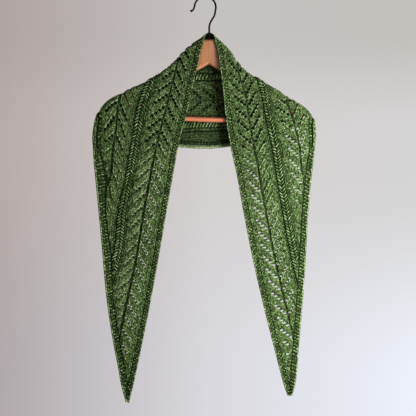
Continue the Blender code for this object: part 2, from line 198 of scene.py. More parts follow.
studio = {
    "eye": (0.0057, -2.2, -0.442),
    "frameHeight": 0.8736,         # what the picture takes in at the scarf, metres
    "sensor": 36.0,
    "floorZ": -1.75,
    "floorRadius": 4.0,
    "floorColour": (0.62, 0.61, 0.60),
    # the backdrop's colours at the left edge, the middle and the right edge of the picture
    "skyTop": ((0.430, 0.372, 0.362), (0.560, 0.535, 0.525), (0.545, 0.520, 0.498)),
    "skyMiddle": ((0.470, 0.412, 0.402), (0.665, 0.635, 0.632), (0.665, 0.655, 0.655)),
    "skyLow": ((0.440, 0.398, 0.408), (0.690, 0.685, 0.725), (0.850, 0.880, 0.960)),
    "skySpan": 0.19,               # from the middle to the picture's edge, as a sine
    # how the rows blend into one another, going down
    "skyMiddleFrom": (0.17, 0.07),
    "skyLowFrom": (0.04, -0.17),
    "skyFront": 0.37,              # how bright the sky is on the viewer's side, against the far side
    "skyAhead": (-0.3, 0.5),       # and where it changes
    "keyPlace": (0.74, -0.45, -0.54),
    "keySize": 0.5,
    "keyWatts": 17.2,
    "keyColour": (1.0, 0.985, 0.96),
    "fillPlace": (0.1, -1.8, 1.0),
    "fillSize": 1.8,
    "fillWatts": 3.0,
    "fillColour": (0.96, 0.97, 1.0),
    "backPlace": (0.4, 2.2, 0.8),
    "backSize": 1.6,
    "backWatts": 22.0,
    "backColour": (1.0, 0.98, 0.96),
    "aim": (0.08, 0.0, -0.45),
}


def addLight(look, which):
    lamp = bpy.data.lights.new(f"{which}_light", "AREA")
    lamp.shape = "DISK"
    lamp.size = look[f"{which}Size"]
    lamp.energy = look[f"{which}Watts"]
    lamp.color = look[f"{which}Colour"]
    thing = bpy.data.objects.new(f"{which}_light", lamp)
    thing.visible_camera = False
    thing.location = look[f"{which}Place"]
    x, y, z = np.array(look["aim"]) - np.array(look[f"{which}Place"])
    thing.rotation_euler = (math.atan2(math.hypot(x, y), -z), 0, math.atan2(-x, y))
    bpy.context.scene.collection.objects.link(thing)


def addSky(look):
    # A pale backdrop that brightens to the right, and a dimmer sky on the viewer's side
    world = bpy.data.worlds.new("studio_sky")
    bpy.context.scene.world = world
    world.use_nodes = True
    paint = Paint.over(world.node_tree)
    split = paint.node("ShaderNodeSeparateXYZ", None, {0: paint.node("ShaderNodeTexCoord")})
    up, ahead = split.beside(2), split.beside(1)
    span = {"Value": split, "From Min": -look["skySpan"], "From Max": look["skySpan"]}
    across = paint.node("ShaderNodeMapRange", None, span)
    top, middle, low = (
        paint.ramp(across, list(zip((0.0, 0.5, 1.0), look[row])))
        for row in ("skyTop", "skyMiddle", "skyLow")
    )
    upper = paint.blend(up.above(*look["skyMiddleFrom"]), top, middle)
    backdrop = paint.blend(up.above(*look["skyLowFrom"]), upper, low)
    strength = ahead.above(*look["skyAhead"]) * (1 - look["skyFront"]) + look["skyFront"]
    background = world.node_tree.nodes["Background"]
    paint.feed(background.inputs["Color"], backdrop)
    paint.feed(background.inputs["Strength"], strength)


def addStudio(look):
    print("Studio: camera, lights and floor")
    scene = bpy.context.scene
    scene.view_settings.view_transform = "Standard"
    lens = bpy.data.cameras.new("camera")
    lens.sensor_width = look["sensor"]
    lens.lens = look["sensor"] * -look["eye"][1] / look["frameHeight"]
    camera = bpy.data.objects.new("camera", lens)
    camera.location = look["eye"]
    camera.rotation_euler = (math.pi / 2, 0, 0)
    scene.collection.objects.link(camera)
    scene.camera = camera
    addSky(look)
    for which in ("key", "fill", "back"):
        addLight(look, which)
    floor = bmesh.new()
    bmesh.ops.create_circle(floor, cap_ends=True, segments=96, radius=look["floorRadius"])
    bmesh.ops.translate(floor, verts=floor.verts, vec=(0, 0, look["floorZ"]))
    disc = meshObject("studio_floor", floor)
    paint = Paint("pale_floor", Base_Color=look["floorColour"], Roughness=0.9)
    disc.data.materials.append(paint.material)


# The flat scarf and its drape

scarf = {
    "halfLength": 0.788,
    "rowPitch": 0.788 / 240,       # rows of knitting, along the scarf
    "stitchWide": 0.0052,          # columns of knitting, across it
    "rowsPerRepeat": 8,            # of the lace
    "border": 0.0150,              # the hem's border, and the most of the width that it takes
    "borderShare": 0.6,
    "laceCentres": (0.046, 0.137),
    "laceReach": (6, 7),           # columns on each side of a lace panel's middle
    "ribCentres": (0.089, 0.189),
    "ribEdge": 0.0075,             # the furrow beside a rib, from its middle
    "plainColumns": (0.1995, 0.2075, 0.2127, 0.2179, 0.2231, 0.2283),
    # lines of the ground beside the columns' own
    "neckLines": (0.0, 0.0036, 0.0073),
    "outerLines": (0.1995, 0.2021, 0.2035),
    "lastLine": 0.2049,
    "lastLines": 10,
    "hemLines": 3,
    "eyeletsPerArm": 4,
    "eyeletMargin": 0.002,         # between an eyelet and the hem's border
    "eyeletReach": 0.0042,         # how far round it stitches are drawn in, and how sharply that ends
    "eyeletSteep": 6,
    "eyeletLeast": 0.30,           # how far a nearly shut eyelet draws together, as a share of its cell
    "eyeletShut": 0.08,            # an eyelet less open than this is closed
    "leafHeight": 0.0008,
    "leafReach": 6.2,              # columns
    "leafFurrow": 0.004,           # half the width of the furrow between a panel's leaves
    "swellMore": 0.6,              # how much higher the left front's outer leaves are, and where
    "swellFrom": 0.26,
    "swellOver": 0.06,
    "hemBlendStart": 0.001,        # where the heights go over to the hem's
    "hemBlendOver": 0.004,
    "groundThick": 0.0006,
    "groundSink": 0.4,             # how far it lies under the knitting's middle, in thicknesses
    "mergeWithin": 1e-5,
    # distance along the neck edge from the middle, depth of the cloth there
    "widths": (
        (0.000, 0.240),
        (0.045, 0.237),
        (0.094, 0.222),
        (0.134, 0.209),
        (0.178, 0.194),
        (0.231, 0.184),
        (0.262, 0.180),
        (0.294, 0.171),
        (0.378, 0.144),
        (0.483, 0.117),
        (0.588, 0.086),
        (0.693, 0.051),
        (0.766, 0.022),
        (0.788, 0.008),
    ),
    # distance from the neck edge, height of the knitting's middle above the cloth's inner side
    "heights": (
        (0.0000, 0.0019),
        (0.0040, 0.0019),
        (0.0110, 0.0012),
        (0.0225, 0.0016),
        (0.0340, 0.0020),
        (0.0430, 0.0015),
        (0.0460, 0.0006),
        (0.0490, 0.0015),
        (0.0580, 0.0020),
        (0.0695, 0.0017),
        (0.0775, 0.0013),
        (0.0805, 0.0005),
        (0.0835, 0.0024),
        (0.0890, 0.0028),
        (0.0945, 0.0024),
        (0.0975, 0.0005),
        (0.1000, 0.0012),
        (0.1135, 0.0016),
        (0.1250, 0.0020),
        (0.1340, 0.0015),
        (0.1370, 0.0006),
        (0.1400, 0.0015),
        (0.1490, 0.0020),
        (0.1605, 0.0016),
        (0.1740, 0.0012),
        (0.1780, 0.0005),
        (0.1830, 0.0024),
        (0.1890, 0.0028),
        (0.1950, 0.0024),
        (0.1975, 0.0010),
        (0.2000, 0.0013),
        (0.2035, 0.0005),
        (0.2075, 0.0013),
        (0.2400, 0.0014),
    ),
    # distance from the hem, height there
    "hemHeights": (
        (0.0000, 0.0019),
        (0.0040, 0.0019),
        (0.0110, 0.0012),
    ),
}

hang = {
    "rollRadius": 0.0068,          # of the cloth's inner side over the hanger
    "foldStart": 0.007,            # the fold over the hanger: from the neck edge here to the hem there
    "foldEnd": 0.231,
    "shoulderWall": 0.0034,        # the knitting on top of the fold, and how sharply it ends
    "shoulderSteep": 8,
    "sagReach": 0.075,             # how far below the fold the hanger's curve still shows
    "middleX": 0.0084,
    "crownHigh": 0.0042,           # the cloth's rounded peak behind the hook
    "crownReach": 0.0065,
    "crownFoot": -0.0940,
    "crownTop": -0.0815,
    "waveStart": 0.05,             # metres below the fold until the waves are full
    "frontWave": 0.0045,           # how far the waves stand out
    "frontWaveLength": 0.30,
    "frontWaveSlant": 2.2,
    "rightWaveShift": 0.9,
    "backWave": 0.0030,            # at the hem
    "backWaveLength": 0.21,
    "backWaveShift": 0.6,
    "pullMargins": (0.03, 0.02),   # the neck edge and the hem aren't drawn aside
    # where the hanging cloth is drawn aside: s, t, reach along and across, how far along and across
    "pulls": (
        (0.200, 0.137, 0.050, 0.050, -0.0150, -0.0120),
        (-0.335, 0.130, 0.045, 0.030, 0.0, -0.0125),
        (-0.490, 0.089, 0.060, 0.030, 0.0, -0.0060),
        (-0.205, 0.089, 0.070, 0.030, -0.0030, 0.0075),
    ),
    # s, neck edge x and z, then outer edge x and z: the fold's top up to foldEnd, the hem after it
    "leftSections": (
        (0.007, 0.0015, -0.0798, 0.0015, -0.0764),
        (0.0245, -0.0034, -0.0952, -0.0164, -0.0882),
        (0.042, -0.0080, -0.1110, -0.0340, -0.1019),
        (0.084, -0.0170, -0.1520, -0.0739, -0.1410),
        (0.126, -0.0271, -0.1928, -0.1176, -0.1716),
        (0.168, -0.0357, -0.2340, -0.1649, -0.1948),
        (0.210, -0.0466, -0.2745, -0.2117, -0.2242),
        (0.231, -0.0520, -0.2946, -0.2274, -0.2500),
        (0.262, -0.0590, -0.3255, -0.2358, -0.2856),
        (0.294, -0.0642, -0.3562, -0.2346, -0.3207),
        (0.378, -0.0790, -0.4389, -0.2265, -0.4158),
        (0.483, -0.0968, -0.5424, -0.2165, -0.5233),
        (0.588, -0.1158, -0.6458, -0.2064, -0.6292),
        (0.693, -0.1365, -0.7489, -0.1900, -0.7375),
        (0.730, -0.1441, -0.7852, -0.1824, -0.7768),
        (0.766, -0.1523, -0.8217, -0.1755, -0.8162),
        (0.788, -0.1588, -0.8470, -0.1672, -0.8480),
    ),
    "rightSections": (
        (0.007, 0.0153, -0.0798, 0.0153, -0.0764),
        (0.0245, 0.0200, -0.0951, 0.0318, -0.0902),
        (0.042, 0.0244, -0.1109, 0.0477, -0.1062),
        (0.084, 0.0311, -0.1525, 0.0806, -0.1498),
        (0.126, 0.0365, -0.1940, 0.1262, -0.1778),
        (0.168, 0.0403, -0.2358, 0.1724, -0.2081),
        (0.210, 0.0460, -0.2774, 0.2165, -0.2390),
        (0.231, 0.0498, -0.2984, 0.2283, -0.2617),
        (0.262, 0.0559, -0.3291, 0.2314, -0.2900),
        (0.294, 0.0630, -0.3597, 0.2285, -0.3203),
        (0.378, 0.0781, -0.4420, 0.2184, -0.4169),
        (0.483, 0.0984, -0.5450, 0.2112, -0.5250),
        (0.588, 0.1217, -0.6466, 0.2041, -0.6298),
        (0.693, 0.1472, -0.7487, 0.1955, -0.7369),
        (0.766, 0.1666, -0.8200, 0.1875, -0.8148),
        (0.788, 0.1722, -0.8345, 0.1818, -0.8345),
    ),
    # the hem across the back: s, x, z
    "leftBackHem": (
        (0.000, 0.0084, -0.3173),
        (0.040, -0.0320, -0.3160),
        (0.078, -0.0699, -0.3115),
        (0.134, -0.1270, -0.2870),
        (0.178, -0.1715, -0.2640),
        (0.231, -0.2274, -0.2500),
    ),
    "rightBackHem": (
        (0.000, 0.0084, -0.3173),
        (0.046, 0.0540, -0.3120),
        (0.094, 0.1033, -0.2990),
        (0.134, 0.1432, -0.2870),
        (0.178, 0.1842, -0.2745),
        (0.231, 0.2283, -0.2617),
    ),
}


def widthAt(s):
    return smoothValue(scarf["widths"], 1, np.abs(s))


foldAngle = math.atan(float(widthAt(hang["foldEnd"])) / (hang["foldEnd"] - hang["foldStart"]))
halfRoll = hang["rollRadius"] * math.pi / 2


def sided(left, right, column, s):
    there = np.abs(s)
    onLeft = smoothValue(hang[left], column, there)
    onRight = smoothValue(hang[right], column, there)
    return np.where(s >= 0, onRight, onLeft)


def pastFold(s, t):
    # Flat distance from the fold line: positive on the back, negative on the fronts
    return t * math.cos(foldAngle) - (np.abs(s) - hang["foldStart"]) * math.sin(foldAngle)


def neckEdge(s):
    x = sided("leftSections", "rightSections", 1, s)
    z = sided("leftSections", "rightSections", 2, s)
    share = np.clip(np.abs(s) / hang["foldStart"], 0, 1)
    return np.stack([hang["middleX"] + (x - hang["middleX"]) * share, z], -1)


def outerEdge(s):
    x = sided("leftSections", "rightSections", 3, s)
    z = sided("leftSections", "rightSections", 4, s)
    fade = np.clip(1 - (np.abs(s) / hang["foldEnd"]) ** hang["shoulderSteep"], 0, None)
    return np.stack([x, z - hang["shoulderWall"] * fade], -1)


def hemEdge(s):
    x = sided("leftBackHem", "rightBackHem", 1, s)
    z = sided("leftBackHem", "rightBackHem", 2, s)
    past = (np.abs(s) > hang["foldEnd"])[..., None]
    return np.where(past, outerEdge(s), np.stack([x, z], -1))


def foldFlat(s, t):
    # Place (x, z) once the cloth is folded along a straight line and sagged to the hanger
    side = np.where(s >= 0, 1.0, -1.0)
    cosine, sine = math.cos(foldAngle), math.sin(foldAngle)
    along = np.stack([side * cosine, -sine + 0 * side], -1)
    down = np.stack([-side * sine, -cosine + 0 * side], -1)
    start = outerEdge(side * hang["foldStart"])
    a = (np.abs(s) - hang["foldStart"]) * cosine + t * sine
    d = pastFold(s, t)
    onFold = np.clip(hang["foldStart"] + a * cosine, hang["foldStart"], hang["foldEnd"])
    straight = start + along * ((onFold - hang["foldStart"]) / cosine)[..., None]
    sag = outerEdge(side * onFold) - straight
    radius = hang["rollRadius"]
    turned = radius * (1 - np.cos(np.clip(d / radius, -math.pi / 2, math.pi / 2)))
    below = np.where(np.abs(d) < halfRoll, turned, np.abs(d) - halfRoll + radius)
    reach = 1 - eased(np.abs(d) / hang["sagReach"])
    return start + along * a[..., None] + down * below[..., None] + sag * reach[..., None]


def waveDepth(s, t, d):
    # How far the cloth stands off from a flat hang, outwards
    offRoll = np.clip((np.abs(d) - halfRoll) / hang["waveStart"], 0, 1)
    across = t / widthAt(s)
    turn = 2 * math.pi * (np.abs(s) - hang["foldEnd"]) / hang["frontWaveLength"]
    shift = np.where(s > 0, hang["rightWaveShift"], 0.0) + hang["frontWaveSlant"] * across
    front = 0.5 - 0.5 * np.cos(turn + shift)
    backTurn = 2 * math.pi * s / hang["backWaveLength"] + hang["backWaveShift"]
    back = 0.5 - 0.5 * np.cos(backTurn)
    return offRoll * np.where(d < 0, hang["frontWave"] * front, hang["backWave"] * back * across)


def pulled(s, t):
    # The flat place that a point is drawn to. The edges stay
    neckSide, hemSide = hang["pullMargins"]
    edge = eased(t / neckSide) * eased((widthAt(s) - t) / hemSide)
    newS, newT = s, t
    for middleS, middleT, along, across, moveS, moveT in hang["pulls"]:
        weight = edge * np.exp(-(((s - middleS) / along) ** 2) - ((t - middleT) / across) ** 2)
        newS, newT = newS + moveS * weight, newT + moveT * weight
    return newS, newT


def drape(s, t):
    # Place of a flat point's inner side on the hanger
    s, t = pulled(*np.broadcast_arrays(np.asarray(s, float), np.asarray(t, float)))
    width = widthAt(s)
    d, dNeck, dHem = pastFold(s, t), pastFold(s, 0 * s), pastFold(s, width)
    neckOff = neckEdge(s) - foldFlat(s, 0 * s)
    hemOff = hemEdge(s) - foldFlat(s, width)
    folded = (np.abs(s) > hang["foldStart"]) & (np.abs(s) < hang["foldEnd"])
    # the neck edge lies on the fronts. Near the fold's end the back is too short to ease in
    safeNeck = np.where(dNeck < 0, dNeck, -1.0)
    neckFolded = np.where(d < 0, eased(d / safeNeck), 0.0)
    hemFolded = np.where(d > 0, eased(d / np.maximum(dHem, 3 * halfRoll)), 0.0)
    hemFree = eased((d - dNeck) / (dHem - dNeck))
    neckShare = np.where(folded, neckFolded, 1 - hemFree)
    hemShare = np.where(folded, hemFolded, hemFree)
    place = foldFlat(s, t) + neckOff * neckShare[..., None] + hemOff * hemShare[..., None]
    turn = np.clip(d / hang["rollRadius"], -math.pi / 2, math.pi / 2)
    y = hang["rollRadius"] * np.sin(turn) + np.copysign(waveDepth(s, t, d), d)
    x, z = place[..., 0], place[..., 1]
    crown = np.exp(-(((x - hang["middleX"]) / hang["crownReach"]) ** 2))
    crown = crown * eased((z - hang["crownFoot"]) / (hang["crownTop"] - hang["crownFoot"]))
    return np.stack([x, y, z + hang["crownHigh"] * crown], -1)


def raised(s, t, height):
    # Place of a flat point at this height above the cloth's inner side
    reach = 0.0006
    alongS = drape(s + reach, t) - drape(s - reach, t)
    alongT = drape(s, t + reach) - drape(s, t - reach)
    outward = np.cross(alongS, alongT)
    outward /= np.linalg.norm(outward, axis=-1, keepdims=True)
    return drape(s, t) + outward * np.asarray(height)[..., None]


def insideAt(s):
    # Where the hem's border begins
    width = widthAt(s)
    return width - np.minimum(scarf["border"], width * scarf["borderShare"])


def hemSlope(s):
    # The way the hem runs on the flat cloth
    reach = 0.002
    return np.arctan((widthAt(s + reach) - widthAt(s - reach)) / (2 * reach))


def leafPhase(s, off):
    # Where a point lies between the crests of a lace panel's leaves, which follow its arms of eyelets
    repeat = scarf["rowsPerRepeat"] * scarf["rowPitch"]
    return 2 * math.pi * (s + eyeletSlope * off - eyeletLine) / repeat


def leafSwell(s):
    # From 0 to 1 where the left front's leaves stand up more
    return eased((-s - scarf["swellFrom"]) / scarf["swellOver"])


def groundHeight(s, t):
    # Height of the knitting's middle: columns, leaves of the lace, and the borders
    table = np.array(scarf["heights"])
    height = np.interp(t, table[:, 0], table[:, 1])
    for centre in scarf["laceCentres"]:
        off = np.abs(t - centre)
        reach = scarf["leafReach"] * scarf["stitchWide"]
        fade = np.clip(1 - (off / reach) ** 2, 0, 1) * eased(off / scarf["leafFurrow"])
        leaf = -np.cos(leafPhase(s, off)) * fade
        high = scarf["leafHeight"] * (1 + scarf["swellMore"] * leafSwell(s) * (t > centre))
        height = height + high * leaf
    fromHem = widthAt(s) - t
    hemTable = np.array(scarf["hemHeights"])
    hemHeight = np.interp(fromHem, hemTable[:, 0], hemTable[:, 1])
    share = eased((fromHem - scarf["border"] + scarf["hemBlendStart"]) / scarf["hemBlendOver"])
    return hemHeight + (height - hemHeight) * share


# Eyelets: in each lace panel two arms of four run away from its middle, one column and two rows apart
eyeletSlope = 2 * scarf["rowPitch"] / scarf["stitchWide"]
eyeletLine = 4.5 * scarf["rowPitch"]


def isEyelet(row, column, centre):
    s = (row + 0.5) * scarf["rowPitch"]
    away = np.abs(column)
    turn = np.mod(row, scarf["rowsPerRepeat"]) == np.mod(4 - 2 * away, scarf["rowsPerRepeat"])
    farSide = centre + (column + 0.5) * scarf["stitchWide"]
    fits = farSide < insideAt(s) - scarf["eyeletMargin"]
    return turn & (away >= 1) & (away <= scarf["eyeletsPerArm"]) & fits


# How open each arm's eyelets are along the scarf: distance from the middle, then 0 for drawn shut,
# 1 for a whole stitch and more for drawn apart. A minus leaves the eyelet uncut and paints its cell with
# shade as dark as a hole
eyeletOpenness = {
    "back": ((0.00, -1.26), (0.140, -1.26), (0.141, 0.57), (0.80, 0.57)),
    "leftInnerNear": (
        (0.00, -1.43), (0.255, -1.39), (0.256, 0.05), (0.285, 0.05), (0.29, 0.42), (0.80, 0.40),
    ),
    "leftInnerFar": (
        (0.00, -1.51), (0.255, -1.51), (0.256, 0.05), (0.29, 0.05), (0.30, 0.10), (0.80, 0.10),
    ),
    "leftOuterNear": (
        (0.00, 0.83), (0.15, 1.17), (0.200, 1.17), (0.201, -1.26), (0.275, -1.09), (0.28, 0.05),
        (0.80, 0.05),
    ),
    "leftOuterFar": (
        (0.00, 0.83), (0.15, 1.17), (0.200, 1.17), (0.201, -1.34), (0.275, -1.17), (0.28, 0.05),
        (0.80, 0.05),
    ),
    "rightInnerNear": (
        (0.00, -1.43), (0.255, -1.39), (0.256, 0.05), (0.28, 0.30), (0.32, 0.92), (0.80, 1.22),
    ),
    "rightInnerFar": (
        (0.00, -1.51), (0.255, -1.51), (0.256, 0.05), (0.375, 0.05), (0.40, 0.30), (0.48, 0.56),
        (0.80, 0.86),
    ),
    "rightOuterNear": (
        (0.00, 0.83), (0.15, 1.17), (0.18, 1.17), (0.181, -1.26), (0.228, -1.09), (0.235, 0.88),
        (0.80, 0.70),
    ),
    "rightOuterFar": (
        (0.00, 0.83), (0.15, 1.17), (0.22, 1.00), (0.235, 0.78), (0.30, 0.64), (0.345, 0.50),
        (0.355, 0.05), (0.80, 0.05),
    ),
}


def howOpen(s, centre, column):
    panel = "Inner" if centre == scarf["laceCentres"][0] else "Outer"
    t = centre + column * scarf["stitchWide"]
    share = np.interp(np.abs(s), *np.array(eyeletOpenness["back"]).T)
    for side, sideSign in (("left", -1), ("right", 1)):
        for arm, armSign in (("Near", -1), ("Far", 1)):
            steps = np.array(eyeletOpenness[side + panel + arm])
            here = (np.sign(s) == sideSign) & (np.sign(column) == armSign) & (pastFold(s, t) < 0)
            share = np.where(here, np.interp(np.abs(s), *steps.T), share)
    return share


def openEyelets(s, t):
    # Moves flat points to or from each eyelet's middle, so that stitches bend round it
    row = np.floor(s / scarf["rowPitch"]).astype(int)
    newS, newT = s.copy(), t.copy()
    for centre in scarf["laceCentres"]:
        column = np.rint((t - centre) / scarf["stitchWide"]).astype(int)
        for rowStep in (-2, -1, 0, 1, 2):
            for columnStep in (-1, 0, 1):
                there = isEyelet(row + rowStep, column + columnStep, centre)
                middleS = (row + rowStep + 0.5) * scarf["rowPitch"]
                fromS = s - middleS
                fromT = t - centre - (column + columnStep) * scarf["stitchWide"]
                share = np.abs(howOpen(middleS, centre, column + columnStep))
                far = np.hypot(fromS, fromT) / scarf["eyeletReach"]
                near = there * np.exp(-(far ** scarf["eyeletSteep"]))
                drawn = (1 - scarf["eyeletLeast"]) * (1 - share) * near
                newS -= drawn * fromS
                newT -= drawn * fromT
    return newS, newT


# The ground of the cloth: a thin pierced shell that the stitches stand on

def groundLines():
    wide = scarf["stitchWide"]
    lines = [*scarf["neckLines"], *scarf["outerLines"]]
    for centre, reach in zip(scarf["laceCentres"], scarf["laceReach"]):
        lines += [centre + k * wide / 2 for k in range(-2 * reach - 1, 2 * reach + 2)]
    for centre in scarf["ribCentres"]:
        lines += [centre + k * wide / 2 for k in range(-2, 3)]
        lines += [centre - scarf["ribEdge"], centre + scarf["ribEdge"]]
    lines += [scarf["lastLine"] + k * wide / 2 for k in range(scarf["lastLines"])]
    return np.array(sorted(lines))


def addGround():
    print("Ground of the cloth")
    lines = groundLines()
    hemLines = scarf["hemLines"]
    rows = 2 * round(scarf["halfLength"] / scarf["rowPitch"])
    across = len(lines) - 1 + hemLines
    sheet = bmesh.new()
    bmesh.ops.create_grid(sheet, x_segments=rows, y_segments=across, size=1.0)
    places = np.array([vert.co for vert in sheet.verts])
    i = np.rint((places[:, 0] + 1) / 2 * rows).astype(int)
    j = np.rint((places[:, 1] + 1) / 2 * across).astype(int)
    s = (i - rows // 2) * scarf["rowPitch"]
    t = np.minimum(lines[np.minimum(j, len(lines) - 1)], insideAt(s))
    hemShare = np.clip(j - len(lines) + 1, 0, hemLines) / hemLines
    t = t + (widthAt(s) - t) * hemShare
    for vert, x, y in zip(sheet.verts, s, t):
        vert.co = (x, y, 0)
    middles = np.array([face.calc_center_median() for face in sheet.faces])
    row = np.floor(middles[:, 0] / scarf["rowPitch"]).astype(int)
    pierced, shadeCells = np.zeros((2, len(middles)), bool)
    for centre in scarf["laceCentres"]:
        column = np.rint((middles[:, 1] - centre) / scarf["stitchWide"]).astype(int)
        share = howOpen((row + 0.5) * scarf["rowPitch"], centre, column)
        pierced |= isEyelet(row, column, centre) & (share > scarf["eyeletShut"])
        shadeCells |= isEyelet(row, column, centre) & (share < 0)
    # uncut eyelets take the second material, painted shade as dark as a hole
    for face, dark in zip(sheet.faces, shadeCells):
        face.material_index = int(dark)
    holes = [face for face, out in zip(sheet.faces, pierced) if out]
    bmesh.ops.delete(sheet, geom=holes, context="FACES")
    bmesh.ops.remove_doubles(sheet, verts=sheet.verts, dist=scarf["mergeWithin"])
    bmesh.ops.dissolve_degenerate(sheet, edges=sheet.edges, dist=scarf["mergeWithin"])
    flat = np.array([vert.co for vert in sheet.verts])
    s, t = openEyelets(flat[:, 0], flat[:, 1])
    height = groundHeight(s, t) - scarf["groundThick"] * scarf["groundSink"]
    for vert, place in zip(sheet.verts, raised(s, t, height)):
        vert.co = place
    ground = meshObject("knit_ground", sheet)
    ground.data.shade_smooth()
    wall = ground.modifiers.new("thickness", "SOLIDIFY")
    wall.thickness = scarf["groundThick"]
    wall.offset = 0.0
    ground.data.materials.append(groundPaint().material)
    ground.data.materials.append(shadePaint().material)
    print("  cells left out for eyelets", len(holes))
    return ground


# The yarn: one rounded strand for each leg of a stitch

yarn = {
    "around": 6,                   # sides of a strand
    "along": 4,                    # rings of a strand
    "uneven": 0.00020,             # how far a strand strays, metres
    "unevenTurn": math.radians(5),
    "unevenSize": 0.05,
    "columnLeast": 0.0018,         # a narrower column isn't knitted
    "columnFirst": 0.0095,         # where the first column may start, from the neck edge
    "legLong": 0.0027,             # half the length of a stitch's leg
    "legWide": 0.23,               # half its width, in columns
    "legHigh": 0.00120,            # half its height
    "legApart": 0.25,              # from the middle of its column, in columns
    "legDip": 0.0005,              # how far its end goes down
    "legLean": math.radians(22),
    "armLean": math.radians(20),   # how a lace panel's stitches lean towards its arms
    "rimLean": math.radians(36),   # and those beside an eyelet
    "rimLong": 0.0021,             # half the length of the legs above and below an eyelet
    "leafCrestLight": 0.10,              # painted light on the crest of a leaf
    "leafCrestLightMore": 0.30,          # and how much more on the left front
    "middleWide": 0.16,            # a lace panel's middle column, which lies in a furrow
    "middleApart": 0.34,
    "middleDown": 0.0010,
    "middleDeep": 0.35,            # the furrow's depth, as a share, and what the left front adds
    "middleDeeper": 0.25,
    "deeperFrom": 0.24,
    "deeperOver": 0.08,
    # painted shade on the stitches down in a furrow
    "furrowShade": -0.60,
    "lowDown": 0.0004,             # the columns beside a rib
    "lowShade": 0.3,                # as a share of the furrow's painted shade
    "veinRows": 1.6,               # rows from an eyelet to its vein
    "veinLong": 0.0046,
    "veinWide": 0.0012,
    "veinHigh": 0.0014,
    "veinUp": 0.0008,
    "veinTone": 0.6,
    "plaitLong": 0.0058,           # the ribs
    "plaitWide": 0.00155,
    "plaitHigh": 0.0017,
    "plaitApart": 0.0040,          # from the rib's middle to each half's
    "plaitRoom": 0.0062,           # the cloth that the rib's outer half needs
    # where plain columns take the place of a rib that the hem cuts off
    "plaitCut": (0.0015, -0.0037),
    "plaitDip": 0.0004,
    "plaitLean": math.radians(45),
    "plaitTone": 0.15,
    "slashLong": 0.0074,           # the ribs' wrong side
    "slashWide": 0.00145,
    "slashHigh": 0.0011,
    "slashLean": math.radians(-57),
    "slashReach": 0.17,
    "slashTone": 0.4,
}


class Strands:
    # Strands in flat places. Lift is how far an end dips, up how far the whole stands off,
    # tone how light it is
    def __init__(self):
        self.rows = []

    def lay(self, s, t, long, wide, high, turn, lift=0.0, up=0.0, tone=0.0):
        parts = np.broadcast_arrays(s, t, long, wide, high, turn, lift, up, tone)
        self.rows.append(np.stack([np.asarray(part, float).ravel() for part in parts], -1))

    def table(self):
        return np.concatenate(self.rows)


def layColumn(strands, rows, centre, column=None, low=False):
    # One column of plain stitches, or of a lace panel, where column counts from its middle.
    # A low one dips to a furrow and gets painted shade
    wide = scarf["stitchWide"]
    s = (rows + 0.5) * scarf["rowPitch"]
    start = centre - wide / 2
    space = np.minimum(wide, insideAt(s) - start)
    keep = (space > yarn["columnLeast"]) & (start > yarn["columnFirst"])
    lean, up, tone = (np.zeros(len(rows)) for _ in range(3))
    long = np.full(len(rows), yarn["legLong"])
    half, apart = yarn["legWide"], yarn["legApart"]
    if column:
        panel = centre - column * wide
        here = np.full(len(rows), column)
        keep &= ~isEyelet(rows, here, panel)
        beside = isEyelet(rows, here + int(np.sign(column)), panel)
        above = isEyelet(rows - 1, here, panel) | isEyelet(rows + 1, here, panel)
        lean = -np.sign(column) * np.where(beside, yarn["rimLean"], yarn["armLean"])
        long = np.where(above, yarn["rimLong"], long)
        # painted light on the leaves' crests, more on the left front
        crestLight = yarn["leafCrestLight"] + yarn["leafCrestLightMore"] * leafSwell(s) * (column > 0)
        tone = tone + crestLight * np.cos(leafPhase(s, abs(column) * wide) + math.pi)
    elif column == 0:
        # the middle column dips into its furrow and gets painted shade, more on the left front
        deeper = eased((-s - yarn["deeperFrom"]) / yarn["deeperOver"])
        deep = yarn["middleDeep"] + yarn["middleDeeper"] * deeper
        up, tone = up - yarn["middleDown"] * deep, tone + yarn["furrowShade"] * deep
        half, apart = yarn["middleWide"], yarn["middleApart"]
    if low:
        up, tone = up - yarn["lowDown"], tone + yarn["furrowShade"] * yarn["lowShade"]
    s, space, lean, up, tone, long = (values[keep] for values in (s, space, lean, up, tone, long))
    for side in (-1, 1):
        turn = -side * yarn["legLean"] + lean
        place = start + space / 2 + side * apart * space
        strands.lay(s, place, long, half * space, yarn["legHigh"], turn, yarn["legDip"], up, tone)


def layVeins(strands, rows, centre):
    # Raised lines of paired stitches that run along each arm of eyelets, on its side towards the tip
    pitch, wide = scarf["rowPitch"], scarf["stitchWide"]
    size = [yarn[key] for key in ("veinLong", "veinWide", "veinHigh")]
    for column in range(-scarf["eyeletsPerArm"], scarf["eyeletsPerArm"] + 1):
        if column == 0:
            continue
        there = rows[isEyelet(rows, np.full(len(rows), column), centre)]
        s = (there + 0.5 + yarn["veinRows"]) * pitch
        turn = -np.sign(column) * math.atan2(wide, 2 * pitch)
        t = centre + column * wide
        strands.lay(s, t, *size, turn, 0.0, yarn["veinUp"], yarn["veinTone"])


